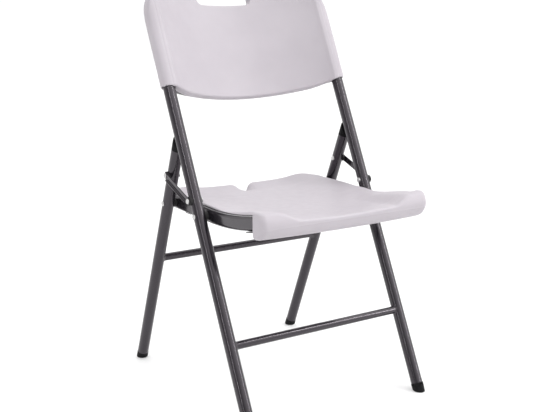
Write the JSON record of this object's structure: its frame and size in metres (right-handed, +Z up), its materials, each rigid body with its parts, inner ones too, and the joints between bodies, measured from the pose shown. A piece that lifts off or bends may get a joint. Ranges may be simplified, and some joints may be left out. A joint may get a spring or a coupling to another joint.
{
  "type": "folding chair",
  "caption": "Folding chair with a painted steel tube frame, a dished plastic seat and a bowed plastic back panel with a hand-hold.",
  "frame": {"origin": "middle of the open chair's footprint, on the floor", "axes": "+Z up, +X to the right of someone facing the chair's front, +Y towards the back of the chair; X = 0 is the plane of symmetry"},
  "size_m": [0.475, 0.549, 0.8809],
  "materials": {
    "frame_paint": "gunmetal powder coat, fine hammered sheen",
    "shell_plastic": "pale grey, finely textured",
    "black_plastic": "black, satin",
    "bare_steel": "zinc plated"
  },
  "bodies": {
    "front_frame": {"upright_left": "frame_paint", "upright_right": "frame_paint", "front_crossbar": "frame_paint", "back_crossbar": "frame_paint", "back_crossbar_screws": "bare_steel", "back_panel": "shell_plastic", "back_panel_screws": "bare_steel", "front_foot_left": "black_plastic", "front_foot_right": "black_plastic", "seat_pivot_rivets": "bare_steel", "seat_pivot_spacers": "black_plastic", "link_front_rivets": "bare_steel", "link_front_spacers": "black_plastic"},
    "seat": {"seat_shell": "shell_plastic", "seat_rail_left": "frame_paint", "seat_rail_right": "frame_paint", "seat_front_brace": "frame_paint", "seat_rear_brace": "frame_paint", "seat_screws": "bare_steel", "seat_rail_plugs": "black_plastic"},
    "rear_legs": {"rear_leg_left": "frame_paint", "rear_leg_right": "frame_paint", "rear_crossbar": "frame_paint", "leg_cap_left": "black_plastic", "leg_cap_right": "black_plastic", "rear_foot_left": "black_plastic", "rear_foot_right": "black_plastic", "seat_rear_rivets": "bare_steel", "seat_rear_spacers": "black_plastic", "link_rear_rivets": "bare_steel", "link_rear_spacers": "black_plastic"},
    "link_left": {"link_left": "frame_paint", "link_rear_head_left": "bare_steel"},
    "link_right": {"link_right": "frame_paint", "link_rear_head_right": "bare_steel"}
  },
  "joints": [
    {"name": "seat_fold", "type": "hinge", "parent": "front_frame", "child": "seat", "pos_m": [0, -0.05388, 0.40825], "axis": [-1, 0, 0], "range_deg": [0, 106.27]},
    {"name": "rear_leg_swing", "type": "hinge", "parent": "seat", "child": "rear_legs", "pos_m": [0, 0.08851, 0.41053], "axis": [1, 0, 0], "range_deg": [0, 57.37]},
    {"name": "link_left_swing", "type": "hinge", "parent": "front_frame", "child": "link_left", "pos_m": [0, -0.03889, 0.43873], "axis": [-1, 0, 0], "range_deg": [0, 121.85]},
    {"name": "link_right_swing", "type": "hinge", "parent": "front_frame", "child": "link_right", "pos_m": [0, -0.03889, 0.43873], "axis": [-1, 0, 0], "range_deg": [0, 121.85]}
  ],
  "couplings": [
    {"joint": "rear_leg_swing", "follows": "seat_fold", "ratio": 0.53985},
    {"joint": "link_left_swing", "follows": "seat_fold", "ratio": 1.1466},
    {"joint": "link_right_swing", "follows": "seat_fold", "ratio": 1.1466}
  ]
}
